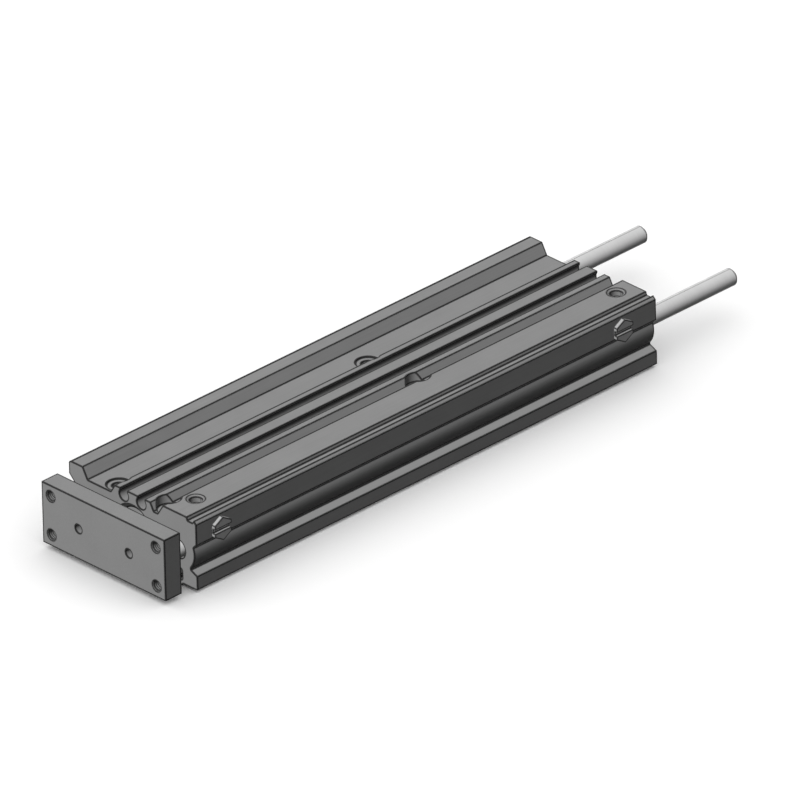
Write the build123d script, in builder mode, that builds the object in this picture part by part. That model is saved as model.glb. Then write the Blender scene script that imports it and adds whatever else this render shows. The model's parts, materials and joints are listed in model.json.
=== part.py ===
from build123d import *
import os
from math import cos, radians, sin, sqrt

os.makedirs("parts", exist_ok=True)

# A compact guided cylinder with a 12 mm bore and a 175 mm stroke.
# +X is the way the end plate travels, +Y is the side of the two plugs and +Z is up.
# The origin is the centre of the four base mounting holes, on the bottom face.
# Left (-Y) and right (+Y) are as seen by someone who faces the end plate.

# Driving sizes
STROKE = 175.0
CYLINDER_BORE = 12.0
PISTON_ROD_DIAMETER = 6.0
GUIDE_ROD_DIAMETER = 6.0
GUIDE_ROD_PITCH = 41.0
GUIDE_ROD_OVERHANG = 42.5
GUIDE_BORE = 11.0

# Clearances between pieces
FIT = 0.02
RUNNING_FIT = 0.03
LOOSE_FIT = 0.1
PISTON_FIT = 0.05
END_GAP = 0.3

# Pieces along the cylinder's axis, from the front face to the back face
RING_SETBACK = 1.2
RING_THICKNESS = 1.0
ROD_COVER_LENGTH = 6.8
FRONT_BUMPER_LENGTH = 2.0
PISTON_LENGTH = 10.0
REAR_BUMPER_LENGTH = 1.9
HEAD_COVER_LENGTH = 3.3

ROD_COVER_START = RING_SETBACK + RING_THICKNESS
ROD_COVER_END = ROD_COVER_START + ROD_COVER_LENGTH
PISTON_START = ROD_COVER_END + FRONT_BUMPER_LENGTH + END_GAP + STROKE
PISTON_END = PISTON_START + PISTON_LENGTH
HEAD_COVER_START = PISTON_END + END_GAP + REAR_BUMPER_LENGTH
HEAD_COVER_END = HEAD_COVER_START + HEAD_COVER_LENGTH
BODY_LENGTH = HEAD_COVER_END + RING_THICKNESS + RING_SETBACK

# Base mounting holes, tapped from below and counterbored from above
BASE_HOLE_FROM_FRONT = 5.0
BASE_HOLE_PITCH_X = 110.0
BASE_HOLE_PITCH_Y = 23.0
BASE_HOLE_DIAMETER = 4.3
BASE_HOLE_CHAMFER = 0.35
COUNTERBORE_DIAMETER = 8.0
COUNTERBORE_DEPTH = 4.5

FRONT = BASE_HOLE_PITCH_X / 2 + BASE_HOLE_FROM_FRONT
BACK = FRONT - BODY_LENGTH

# T-slots in the bottom face, for square nuts or bolt heads
T_SLOT_PITCH = 37.0
T_SLOT_OPENING = 4.4
T_SLOT_WIDTH = 7.4
T_SLOT_LIP = 2.2
T_SLOT_DEPTH = 6.2
T_SLOT_CORNER = 0.8
T_SLOT_WEB = 1.3

# Body section: heights
AXIS_HEIGHT = T_SLOT_DEPTH + T_SLOT_WEB + GUIDE_BORE / 2
COVER_STEP = 1.75
COVER_BORE = CYLINDER_BORE + 2 * COVER_STEP
RIDGE_WALL = 4.25
RIDGE_STEP = 1.0
RIDGE_TOP = AXIS_HEIGHT + COVER_BORE / 2 + RIDGE_WALL
BODY_TOP = RIDGE_TOP + RIDGE_STEP
VALLEY_DEPTH = 4.0
VALLEY_FLOOR = BODY_TOP - VALLEY_DEPTH

# Body section: sides, which wrap round the guide bores
GUIDE_Y = GUIDE_ROD_PITCH / 2
GUIDE_WALL = 2.0
WAIST_DEPTH = 1.0
WAIST_RADIUS = GUIDE_BORE / 2 + GUIDE_WALL
SIDE_Y = GUIDE_Y + WAIST_RADIUS + WAIST_DEPTH
RIGHT_FACE_HEIGHT = 8.8
LEFT_FACE_HEIGHT = 4.7
FOOT_STEP = 1.0
FOOT_INNER_Y = SIDE_Y - 7.5
LIP_CHAMFER = 0.2
LEDGE_EDGE_Z = 6.0
LEDGE_ROOT_Z = 7.3
LEDGE_DEPTH = 2.9

# Body section: top
SENSOR_SLOT_PITCH = 8.0
SENSOR_SLOT_DIAMETER = 4.1
SENSOR_SLOT_MOUTH = 3.2
RIDGE_HALF_WIDTH = 8.1
RIDGE_SLOPE = 1.9
GROOVE_BANK = 1.5
GROOVE_FLOOR_WIDTH = 1.8
GROOVE_FLOOR_RISE = 0.15
GROOVE_WALL_RUN = 2.5
FIN_TOP_WIDTH = 6.2
FIN_SLOPE = 2.2
FIN_CORNER = 0.9
EDGE_GROOVE_DEPTH = 1.2
EDGE_GROOVE_START = 4.3
EDGE_GROOVE_BANK = 0.4
EDGE_GROOVE_END = 1.6
EDGE_LIP_RUN = 1.1
EDGE_LIP_DROP = 0.2
EDGE_SLOPE_DROP = 1.35

# Air ports
PORT_DRILL = 4.2
PORT_CHAMFER_DIAMETER = 6.2
PORT_CHAMFER_DEPTH = 0.5
PASSAGE_DIAMETER = 2.0
PASSAGE_WALL = 0.5
TOP_PORT_Y = 18.3
FRONT_PORT_FROM_FRONT = 10.3
REAR_TOP_PORT_FROM_BACK = 7.2
REAR_SIDE_PORT_FROM_BACK = 15.5
PASSAGE_HEIGHT = AXIS_HEIGHT + GUIDE_BORE / 2 + PASSAGE_WALL + PASSAGE_DIAMETER / 2
SIDE_PORT_DEPTH = 5.0
PASSAGE_MOUTH_Y = 5.0
PASSAGE_MOUTH_Z = AXIS_HEIGHT + 2.0
FRONT_MOUTH_GAP = 2.0
REAR_MOUTH_GAP = 1.1
SIDE_MOUTH_SHIFT = 2.2

# Side plugs
PLUG_ACROSS_FLATS = 7.2
PLUG_HEAD = 1.8
PLUG_SHANK_LENGTH = 4.5
PLUG_SLOT_WIDTH = 1.5
PLUG_SLOT_DEPTH = 1.1

# Covers, seals and retaining rings of the cylinder
RING_GROOVE_DEPTH = 0.5
RING_WIDTH = 1.5
RING_GAP_ANGLE = 50.0
RING_LUG_RADIUS = 1.05
RING_LUG_HOLE = 0.4
O_RING_SECTION = 1.5
O_RING_CORNER = 0.4
O_RING_GROOVE_WIDTH = 1.8
O_RING_GROOVE_DEPTH = 1.4
ROD_SEAL_WIDTH = 2.4
ROD_SEAL_RADIUS = 4.9
ROD_SEAL_LIP = 0.5
ROD_SEAL_SETBACK = 0.8
BUMPER_RADIUS = 4.9

# Piston
PISTON_FRONT_LAND = 0.9
PISTON_SEAL_WIDTH = 1.6
PISTON_MID_LAND = 0.8
PISTON_SEAL_FLOOR = 4.2
MAGNET_LENGTH = 4.0
MAGNET_INNER_RADIUS = 3.2
PISTON_TAIL_RADIUS = 5.6
SPIGOT_RADIUS = 2.0
RIVET_RADIUS = 2.6
RIVET_DEPTH = 0.8

# Guide bushes, put in from behind against a lip left in the front face
FRONT_LIP = 2.0
HOLDER_LENGTH = 2.0
FELT_LENGTH = 1.5
BUSH_LENGTH = 19.0
BUSH_SPACER_LENGTH = 27.0
ROD_HOLE_RADIUS = 3.3
BUSH_SHELL_WALL = 0.93
BUSH_LIP_LENGTH = 0.8
BALL_DIAMETER = 1.5
BALL_ROWS = 4
BALLS_PER_ROW = 3
BALL_PITCH = 4.0
CAGE_WALL = 1.1

FRONT_BUSH_START = FRONT_LIP + FELT_LENGTH
BUSH_SPACER_START = FRONT_BUSH_START + BUSH_LENGTH
REAR_BUSH_START = BUSH_SPACER_START + BUSH_SPACER_LENGTH
HOLDER_START = REAR_BUSH_START + BUSH_LENGTH

# End plate
PLATE_GAP = 6.0
PLATE_THICKNESS = 7.0
PLATE_TAP_PITCH_Y = 48.0
PLATE_TAP_PITCH_Z = 14.0
PLATE_EDGE = 4.0
PLATE_TAP_DRILL = 3.3
PLATE_TAP_CHAMFER = 0.35
PIN_HOLE_DIAMETER = 3.0
PIN_HOLE_PITCH = 23.0
PIN_HOLE_DEPTH = 6.0
PLATE_SPIGOT_LENGTH = 4.5
ROD_END_CHAMFER = 0.8
PLATE_REAR = FRONT + PLATE_GAP
PLATE_FRONT = PLATE_REAR + PLATE_THICKNESS
PLATE_WIDTH = PLATE_TAP_PITCH_Y + 2 * PLATE_EDGE
PLATE_HEIGHT = PLATE_TAP_PITCH_Z + 2 * PLATE_EDGE

GUIDE_SIDES = (("left", -GUIDE_Y), ("right", GUIDE_Y))
BUSH_ENDS = (("front", FRONT_BUSH_START), ("rear", REAR_BUSH_START))


def section_plane(x):
    """Plane across the body at x, with Y to the right and Z up."""
    return Plane(origin=(x, 0, 0), x_dir=(0, 1, 0), z_dir=(1, 0, 0))


def depth_plane(depth, y=0.0):
    """Plane across the axis at y, a given depth behind the front face, facing backwards."""
    return Plane(origin=(FRONT - depth, y, AXIS_HEIGHT), x_dir=(0, 1, 0), z_dir=(-1, 0, 0))


def axial_plane(y=0.0):
    """Plane through the axis at y, where x is the depth and y is the radius."""
    return Plane(origin=(FRONT, y, AXIS_HEIGHT), x_dir=(-1, 0, 0), z_dir=(0, 1, 0))


def axial_axis(y=0.0):
    """Axis of the cylinder, or of a guide rod, pointing backwards."""
    return Axis((FRONT, y, AXIS_HEIGHT), (-1, 0, 0))


def ring_section(start, length, inner, outer, mode=Mode.ADD):
    """Rectangle in an axial plane, from one depth and radius to another."""
    with Locations((start, inner)):
        Rectangle(length, outer - inner, align=(Align.MIN, Align.MIN), mode=mode)


def undercut_run(face_bottom):
    """Run of a 45 degree undercut from the side face down to the round waist."""
    run = SIDE_Y - GUIDE_Y
    drop = face_bottom - AXIS_HEIGHT
    half_sum = (run + drop) / 2
    return half_sum - sqrt(half_sum**2 - (run**2 + drop**2 - WAIST_RADIUS**2) / 2)


def drilled_hole(start, end, diameter):
    """Straight drilled hole between two points."""
    path = Vector(*end) - Vector(*start)
    with BuildSketch(Plane(origin=start, z_dir=path)) as hole_end:
        Circle(diameter / 2)
    extrude(hole_end.sketch, amount=path.length, mode=Mode.SUBTRACT)


# Body extrusion: the section is drawn at the back face and runs to the front face
waist_foot_y = SIDE_Y - LEDGE_DEPTH
waist_foot_z = AXIS_HEIGHT - sqrt(WAIST_RADIUS**2 - (waist_foot_y - GUIDE_Y) ** 2)
right_face_bottom = BODY_TOP - RIGHT_FACE_HEIGHT
left_face_bottom = BODY_TOP - LEFT_FACE_HEIGHT
right_run = undercut_run(right_face_bottom)
left_run = undercut_run(left_face_bottom)
lip_top_z = BODY_TOP - EDGE_LIP_DROP
edge_slope_z = BODY_TOP - EDGE_SLOPE_DROP
edge_floor_z = BODY_TOP - EDGE_GROOVE_DEPTH
groove_floor_z = VALLEY_FLOOR + GROOVE_FLOOR_RISE
groove_inner_y = RIDGE_HALF_WIDTH + GROOVE_BANK
groove_outer_y = groove_inner_y + GROOVE_FLOOR_WIDTH
block_inner_y = groove_outer_y + GROOVE_WALL_RUN

with BuildPart() as cylinder_body:
    with BuildSketch(section_plane(BACK)):
        with BuildLine():
            Polyline(
                (-waist_foot_y, waist_foot_z),
                (-waist_foot_y, LEDGE_ROOT_Z),
                (-SIDE_Y, LEDGE_EDGE_Z),
                (-SIDE_Y, FOOT_STEP + LIP_CHAMFER),
                (-SIDE_Y + LIP_CHAMFER, FOOT_STEP),
                (-FOOT_INNER_Y - FOOT_STEP, FOOT_STEP),
                (-FOOT_INNER_Y, 0),
                (FOOT_INNER_Y, 0),
                (FOOT_INNER_Y + FOOT_STEP, FOOT_STEP),
                (SIDE_Y - LIP_CHAMFER, FOOT_STEP),
                (SIDE_Y, FOOT_STEP + LIP_CHAMFER),
                (SIDE_Y, LEDGE_EDGE_Z),
                (waist_foot_y, LEDGE_ROOT_Z),
                (waist_foot_y, waist_foot_z),
            )
            ThreePointArc(
                (waist_foot_y, waist_foot_z),
                (GUIDE_Y + WAIST_RADIUS, AXIS_HEIGHT),
                (SIDE_Y - right_run, right_face_bottom - right_run),
            )
            Polyline(
                (SIDE_Y - right_run, right_face_bottom - right_run),
                (SIDE_Y, right_face_bottom),
                (SIDE_Y, edge_slope_z),
                (SIDE_Y - EDGE_LIP_RUN, lip_top_z),
                (SIDE_Y - EDGE_GROOVE_END, edge_floor_z),
                (SIDE_Y - EDGE_GROOVE_START + EDGE_GROOVE_BANK, edge_floor_z),
                (SIDE_Y - EDGE_GROOVE_START, BODY_TOP),
                (block_inner_y, BODY_TOP),
                (groove_outer_y, groove_floor_z),
                (groove_inner_y, groove_floor_z),
                (RIDGE_HALF_WIDTH, RIDGE_TOP),
                (-RIDGE_HALF_WIDTH, RIDGE_TOP),
                (-RIDGE_HALF_WIDTH - RIDGE_SLOPE, VALLEY_FLOOR),
                (-SIDE_Y + FIN_TOP_WIDTH + FIN_SLOPE, VALLEY_FLOOR),
                (-SIDE_Y + FIN_TOP_WIDTH, BODY_TOP),
                (-SIDE_Y + FIN_CORNER, BODY_TOP),
            )
            RadiusArc(
                (-SIDE_Y + FIN_CORNER, BODY_TOP),
                (-SIDE_Y, BODY_TOP - FIN_CORNER),
                -FIN_CORNER,
            )
            Polyline(
                (-SIDE_Y, BODY_TOP - FIN_CORNER),
                (-SIDE_Y, left_face_bottom),
                (-SIDE_Y + left_run, left_face_bottom - left_run),
            )
            ThreePointArc(
                (-SIDE_Y + left_run, left_face_bottom - left_run),
                (-GUIDE_Y - WAIST_RADIUS, AXIS_HEIGHT),
                (-waist_foot_y, waist_foot_z),
            )
        make_face()
    extrude(amount=BODY_LENGTH)

    # Round-bottomed sensor slots along the ridge and T-slots along the base
    with BuildSketch(section_plane(BACK)):
        slot_centre_z = RIDGE_TOP - SENSOR_SLOT_DIAMETER / 2
        for side in (-1, 1):
            with Locations((side * SENSOR_SLOT_PITCH / 2, slot_centre_z)):
                Circle(SENSOR_SLOT_DIAMETER / 2)
                Rectangle(SENSOR_SLOT_MOUTH, SENSOR_SLOT_DIAMETER, align=(Align.CENTER, Align.MIN))
            with Locations((side * T_SLOT_PITCH / 2, 0)):
                Rectangle(T_SLOT_OPENING, T_SLOT_DEPTH, align=(Align.CENTER, Align.MIN))
            with Locations((side * T_SLOT_PITCH / 2, (T_SLOT_LIP + T_SLOT_DEPTH) / 2)):
                RectangleRounded(T_SLOT_WIDTH, T_SLOT_DEPTH - T_SLOT_LIP, T_SLOT_CORNER)
    extrude(amount=BODY_LENGTH, mode=Mode.SUBTRACT)

    # Cylinder bore, with a wider recess and a ring groove at each end
    with BuildSketch(axial_plane()):
        ring_section(0, BODY_LENGTH, 0, CYLINDER_BORE / 2)
        ring_section(0, ROD_COVER_END, 0, COVER_BORE / 2)
        ring_section(HEAD_COVER_START, BODY_LENGTH - HEAD_COVER_START, 0, COVER_BORE / 2)
        ring_groove_radius = COVER_BORE / 2 + RING_GROOVE_DEPTH
        ring_section(RING_SETBACK, RING_THICKNESS, 0, ring_groove_radius)
        ring_section(HEAD_COVER_END, RING_THICKNESS, 0, ring_groove_radius)
    revolve(axis=axial_axis(), mode=Mode.SUBTRACT)

    # Guide bores for the bushes, open behind, with a narrow hole for each rod in front
    for side_name, guide_y in GUIDE_SIDES:
        with BuildSketch(axial_plane(guide_y)):
            ring_section(FRONT_LIP, BODY_LENGTH - FRONT_LIP, 0, GUIDE_BORE / 2)
            ring_section(0, FRONT_LIP, 0, ROD_HOLE_RADIUS)
        revolve(axis=axial_axis(guide_y), mode=Mode.SUBTRACT)

    # Base mounting holes
    with Locations(Plane.XY.offset(BODY_TOP)):
        with GridLocations(BASE_HOLE_PITCH_X, BASE_HOLE_PITCH_Y, 2, 2):
            CounterBoreHole(BASE_HOLE_DIAMETER / 2, COUNTERBORE_DIAMETER / 2, COUNTERBORE_DEPTH)
    with Locations(Plane.XY):
        with GridLocations(BASE_HOLE_PITCH_X, BASE_HOLE_PITCH_Y, 2, 2):
            Cone(
                BASE_HOLE_DIAMETER / 2 + BASE_HOLE_CHAMFER,
                BASE_HOLE_DIAMETER / 2,
                BASE_HOLE_CHAMFER,
                align=(Align.CENTER, Align.CENTER, Align.MIN),
                mode=Mode.SUBTRACT,
            )

    # Tapped air ports in the top face, each with a flat countersink
    front_port_x = FRONT - FRONT_PORT_FROM_FRONT
    rear_port_x = BACK + REAR_TOP_PORT_FROM_BACK
    rear_side_port_x = BACK + REAR_SIDE_PORT_FROM_BACK
    tapped_bottom = PASSAGE_HEIGHT + PASSAGE_DIAMETER / 2
    for port_x in (front_port_x, rear_port_x):
        top_port = (port_x, TOP_PORT_Y, BODY_TOP)
        drilled_hole(top_port, (port_x, TOP_PORT_Y, tapped_bottom), PORT_DRILL)
        drilled_hole(top_port, (port_x, TOP_PORT_Y, PASSAGE_HEIGHT), PASSAGE_DIAMETER)
        with Locations(top_port):
            Cone(
                PORT_DRILL / 2,
                PORT_CHAMFER_DIAMETER / 2,
                PORT_CHAMFER_DEPTH,
                align=(Align.CENTER, Align.CENTER, Align.MAX),
                mode=Mode.SUBTRACT,
            )

    # Tapped side ports, and the drilled passages from all four ports to the bore
    tapped_end_y = SIDE_Y - SIDE_PORT_DEPTH
    for port_x in (front_port_x, rear_side_port_x):
        side_port = (port_x, SIDE_Y, PASSAGE_HEIGHT)
        drilled_hole(side_port, (port_x, tapped_end_y, PASSAGE_HEIGHT), PORT_DRILL)
    front_joint = (front_port_x, TOP_PORT_Y, PASSAGE_HEIGHT)
    rear_joint = (rear_port_x, TOP_PORT_Y, PASSAGE_HEIGHT)
    front_mouth_x = FRONT - ROD_COVER_END - FRONT_MOUTH_GAP
    rear_mouth_x = FRONT - HEAD_COVER_START + REAR_MOUTH_GAP
    side_mouth_x = rear_side_port_x - SIDE_MOUTH_SHIFT
    side_start = (rear_side_port_x, tapped_end_y + PASSAGE_DIAMETER, PASSAGE_HEIGHT)
    drilled_hole((front_port_x, tapped_end_y, PASSAGE_HEIGHT), front_joint, PASSAGE_DIAMETER)
    drilled_hole(front_joint, (front_mouth_x, PASSAGE_MOUTH_Y, PASSAGE_MOUTH_Z), PASSAGE_DIAMETER)
    drilled_hole(rear_joint, (rear_mouth_x, PASSAGE_MOUTH_Y, PASSAGE_MOUTH_Z), PASSAGE_DIAMETER)
    drilled_hole(side_start, (side_mouth_x, PASSAGE_MOUTH_Y, PASSAGE_MOUTH_Z), PASSAGE_DIAMETER)
cylinder_body.part.label = "cylinder_body"
export_step(cylinder_body.part, "parts/cylinder_body.step")

# Slotted hexagon plugs in the two side ports
for end_name, port_x in (("front", front_port_x), ("rear", rear_side_port_x)):
    plug_plane = Plane(origin=(port_x, SIDE_Y, PASSAGE_HEIGHT), x_dir=(-1, 0, 0), z_dir=(0, 1, 0))
    with BuildPart() as port_plug:
        with BuildSketch(plug_plane):
            RegularPolygon(PLUG_ACROSS_FLATS / 2, 6, major_radius=False, rotation=30)
        extrude(amount=PLUG_HEAD)
        with BuildSketch(plug_plane):
            Circle(PORT_DRILL / 2 - FIT)
        extrude(amount=-PLUG_SHANK_LENGTH)
        with BuildSketch(plug_plane.offset(PLUG_HEAD)):
            Rectangle(2 * PLUG_ACROSS_FLATS, PLUG_SLOT_WIDTH)
        extrude(amount=-PLUG_SLOT_DEPTH, mode=Mode.SUBTRACT)
    port_plug.part.label = f"port_plug_{end_name}"
    export_step(port_plug.part, f"parts/port_plug_{end_name}.step")

# Rod cover, which carries the rod seal inside and an O-ring outside
cover_radius = COVER_BORE / 2 - FIT
rod_hole_radius = PISTON_ROD_DIAMETER / 2 + RUNNING_FIT
o_ring_floor = COVER_BORE / 2 - O_RING_GROOVE_DEPTH
rod_seal_start = ROD_COVER_START + ROD_SEAL_SETBACK
rod_o_ring_start = ROD_COVER_END - O_RING_GROOVE_WIDTH - ROD_SEAL_SETBACK
with BuildPart() as rod_cover:
    with BuildSketch(axial_plane()):
        ring_section(ROD_COVER_START, ROD_COVER_LENGTH, rod_hole_radius, cover_radius)
        ring_section(rod_seal_start, ROD_SEAL_WIDTH, 0, ROD_SEAL_RADIUS, Mode.SUBTRACT)
        ring_section(
            rod_o_ring_start, O_RING_GROOVE_WIDTH, o_ring_floor, COVER_BORE, Mode.SUBTRACT
        )
    revolve(axis=axial_axis())
rod_cover.part.label = "rod_cover"
export_step(rod_cover.part, "parts/rod_cover.step")

# Rod seal: a U-shaped ring whose mouth faces the pressure behind it
with BuildPart() as rod_seal:
    with BuildSketch(axial_plane()):
        seal_start = rod_seal_start + FIT
        seal_width = ROD_SEAL_WIDTH - 2 * FIT
        seal_inner = PISTON_ROD_DIAMETER / 2 + RUNNING_FIT
        seal_outer = ROD_SEAL_RADIUS - FIT
        ring_section(seal_start, seal_width, seal_inner, seal_outer)
        ring_section(
            seal_start + seal_width / 2,
            seal_width,
            seal_inner + ROD_SEAL_LIP,
            seal_outer - ROD_SEAL_LIP,
            Mode.SUBTRACT,
        )
    revolve(axis=axial_axis())
rod_seal.part.label = "rod_seal"
export_step(rod_seal.part, "parts/rod_seal.step")

# Head cover, which closes the back of the bore
head_o_ring_start = HEAD_COVER_START + (HEAD_COVER_LENGTH - O_RING_GROOVE_WIDTH) / 2
with BuildPart() as head_cover:
    with BuildSketch(axial_plane()):
        ring_section(HEAD_COVER_START, HEAD_COVER_LENGTH, 0, cover_radius)
        ring_section(
            head_o_ring_start, O_RING_GROOVE_WIDTH, o_ring_floor, COVER_BORE, Mode.SUBTRACT
        )
    revolve(axis=axial_axis())
head_cover.part.label = "head_cover"
export_step(head_cover.part, "parts/head_cover.step")

# O-rings, squeezed a little flat between groove floor and bore
for cover_name, groove_start in (("rod_cover", rod_o_ring_start), ("head_cover", head_o_ring_start)):
    with BuildPart() as o_ring:
        with BuildSketch(axial_plane()) as squeezed_section:
            ring_height = O_RING_GROOVE_DEPTH - 2 * FIT
            with Locations((groove_start + O_RING_GROOVE_WIDTH / 2, o_ring_floor + FIT + ring_height / 2)):
                Rectangle(O_RING_SECTION, ring_height)
            chamfer(squeezed_section.vertices(), length=O_RING_CORNER)
        revolve(axis=axial_axis())
    o_ring.part.label = f"{cover_name}_o_ring"
    export_step(o_ring.part, f"parts/{cover_name}_o_ring.step")

# Retaining rings: open at the bottom, with a lug and a plier hole at each end
ring_outer = ring_groove_radius - FIT
ring_inner = COVER_BORE / 2 - RING_WIDTH
lug_ring_radius = COVER_BORE / 2 - RING_LUG_RADIUS - FIT
for ring_name, ring_start in (("front", RING_SETBACK), ("rear", HEAD_COVER_END)):
    with BuildPart() as retaining_ring:
        with BuildSketch(depth_plane(ring_start + FIT)):
            Circle(ring_outer)
            Circle(ring_inner, mode=Mode.SUBTRACT)
            gap_reach = 2 * ring_outer
            gap_half_width = gap_reach * sin(radians(RING_GAP_ANGLE / 2))
            gap_height = gap_reach * cos(radians(RING_GAP_ANGLE / 2))
            with BuildLine():
                Polyline((0, 0), (gap_half_width, gap_height), (-gap_half_width, gap_height), (0, 0))
            make_face(mode=Mode.SUBTRACT)
            for side in (-1, 1):
                lug_angle = 90 + side * RING_GAP_ANGLE / 2
                with PolarLocations(lug_ring_radius, 1, start_angle=lug_angle):
                    Circle(RING_LUG_RADIUS)
                    Circle(RING_LUG_HOLE, mode=Mode.SUBTRACT)
        extrude(amount=RING_THICKNESS - 2 * FIT)
    retaining_ring.part.label = f"{ring_name}_retaining_ring"
    export_step(retaining_ring.part, f"parts/{ring_name}_retaining_ring.step")

# Bumpers on the inner faces of the two covers
with BuildPart() as front_bumper:
    with BuildSketch(axial_plane()):
        bumper_hole = PISTON_ROD_DIAMETER / 2 + END_GAP
        ring_section(ROD_COVER_END, FRONT_BUMPER_LENGTH, bumper_hole, BUMPER_RADIUS)
    revolve(axis=axial_axis())
front_bumper.part.label = "front_bumper"
export_step(front_bumper.part, "parts/front_bumper.step")

with BuildPart() as rear_bumper:
    with BuildSketch(depth_plane(HEAD_COVER_START - REAR_BUMPER_LENGTH)):
        Circle(BUMPER_RADIUS)
    extrude(amount=REAR_BUMPER_LENGTH)
rear_bumper.part.label = "rear_bumper"
export_step(rear_bumper.part, "parts/rear_bumper.step")

# Piston: a seal groove near its front, then a waist that carries the magnet ring
piston_radius = CYLINDER_BORE / 2 - PISTON_FIT
seal_groove_start = PISTON_START + PISTON_FRONT_LAND
magnet_start = seal_groove_start + PISTON_SEAL_WIDTH + PISTON_MID_LAND
rivet_start = PISTON_END - RIVET_DEPTH
with BuildPart() as piston:
    with BuildSketch(axial_plane()):
        ring_section(PISTON_START, PISTON_LENGTH, SPIGOT_RADIUS + FIT, PISTON_TAIL_RADIUS)
        ring_section(
            PISTON_START, magnet_start - PISTON_START, SPIGOT_RADIUS + FIT, piston_radius
        )
        ring_section(
            seal_groove_start, PISTON_SEAL_WIDTH, PISTON_SEAL_FLOOR, CYLINDER_BORE, Mode.SUBTRACT
        )
        ring_section(
            magnet_start, MAGNET_LENGTH, MAGNET_INNER_RADIUS, CYLINDER_BORE, Mode.SUBTRACT
        )
        ring_section(rivet_start, RIVET_DEPTH, 0, RIVET_RADIUS + FIT, Mode.SUBTRACT)
    revolve(axis=axial_axis())
piston.part.label = "piston"
export_step(piston.part, "parts/piston.step")

with BuildPart() as piston_seal:
    with BuildSketch(axial_plane()):
        lip_radius = CYLINDER_BORE / 2 - RUNNING_FIT
        seal_base = PISTON_SEAL_FLOOR + FIT
        seal_mid = (seal_base + lip_radius) / 2
        seal_from = seal_groove_start + FIT
        seal_to = seal_groove_start + PISTON_SEAL_WIDTH - FIT
        with BuildLine():
            Polyline(
                (seal_from, seal_base),
                (seal_to, seal_base),
                (seal_to, lip_radius),
                (seal_to - PISTON_SEAL_WIDTH / 4, lip_radius),
                ((seal_from + seal_to) / 2, seal_mid),
                (seal_from + PISTON_SEAL_WIDTH / 4, lip_radius),
                (seal_from, lip_radius),
                (seal_from, seal_base),
            )
        make_face()
    revolve(axis=axial_axis())
piston_seal.part.label = "piston_seal"
export_step(piston_seal.part, "parts/piston_seal.step")

with BuildPart() as piston_magnet:
    with BuildSketch(axial_plane()):
        ring_section(
            magnet_start + FIT,
            MAGNET_LENGTH - 2 * FIT,
            MAGNET_INNER_RADIUS + FIT,
            PISTON_TAIL_RADIUS,
        )
    revolve(axis=axial_axis())
piston_magnet.part.label = "piston_magnet"
export_step(piston_magnet.part, "parts/piston_magnet.step")

# Piston rod: screwed into the plate in front, riveted over the piston behind
plate_depth = -PLATE_GAP
spigot_start = plate_depth - PLATE_SPIGOT_LENGTH + END_GAP
with BuildPart() as piston_rod:
    with BuildSketch(axial_plane()):
        ring_section(plate_depth, PISTON_START - plate_depth, 0, PISTON_ROD_DIAMETER / 2)
        ring_section(spigot_start, PISTON_END - spigot_start, 0, SPIGOT_RADIUS)
        ring_section(rivet_start, RIVET_DEPTH, 0, RIVET_RADIUS)
    revolve(axis=axial_axis())
piston_rod.part.label = "piston_rod"
export_step(piston_rod.part, "parts/piston_rod.step")

# Guide rods: screwed into the plate in front, chamfered behind
rod_end_depth = BODY_LENGTH + GUIDE_ROD_OVERHANG
rod_radius = GUIDE_ROD_DIAMETER / 2
for side_name, guide_y in GUIDE_SIDES:
    with BuildPart() as guide_rod:
        with BuildSketch(axial_plane(guide_y)):
            ring_section(spigot_start, PLATE_SPIGOT_LENGTH, 0, SPIGOT_RADIUS)
            with BuildLine():
                Polyline(
                    (plate_depth, 0),
                    (plate_depth, rod_radius),
                    (rod_end_depth - ROD_END_CHAMFER, rod_radius),
                    (rod_end_depth, rod_radius - ROD_END_CHAMFER),
                    (rod_end_depth, 0),
                    (plate_depth, 0),
                )
            make_face()
        revolve(axis=axial_axis(guide_y))
    guide_rod.part.label = f"guide_rod_{side_name}"
    export_step(guide_rod.part, f"parts/guide_rod_{side_name}.step")

# Holder ring, felt wiper and spacer tube of each guide bore
bush_outer = GUIDE_BORE / 2 - FIT
for side_name, guide_y in GUIDE_SIDES:
    with BuildPart() as guide_holder:
        with BuildSketch(axial_plane(guide_y)):
            ring_section(HOLDER_START, HOLDER_LENGTH, ROD_HOLE_RADIUS, bush_outer)
        revolve(axis=axial_axis(guide_y))
    guide_holder.part.label = f"guide_holder_{side_name}"
    export_step(guide_holder.part, f"parts/guide_holder_{side_name}.step")

    with BuildPart() as guide_felt:
        with BuildSketch(axial_plane(guide_y)):
            ring_section(FRONT_LIP, FELT_LENGTH, rod_radius + LOOSE_FIT, bush_outer - LOOSE_FIT)
        revolve(axis=axial_axis(guide_y))
    guide_felt.part.label = f"guide_felt_{side_name}"
    export_step(guide_felt.part, f"parts/guide_felt_{side_name}.step")

    with BuildPart() as bush_spacer:
        with BuildSketch(axial_plane(guide_y)):
            ring_section(
                BUSH_SPACER_START,
                BUSH_SPACER_LENGTH,
                bush_outer - BUSH_SHELL_WALL,
                bush_outer,
            )
        revolve(axis=axial_axis(guide_y))
    bush_spacer.part.label = f"bush_spacer_{side_name}"
    export_step(bush_spacer.part, f"parts/bush_spacer_{side_name}.step")

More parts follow.
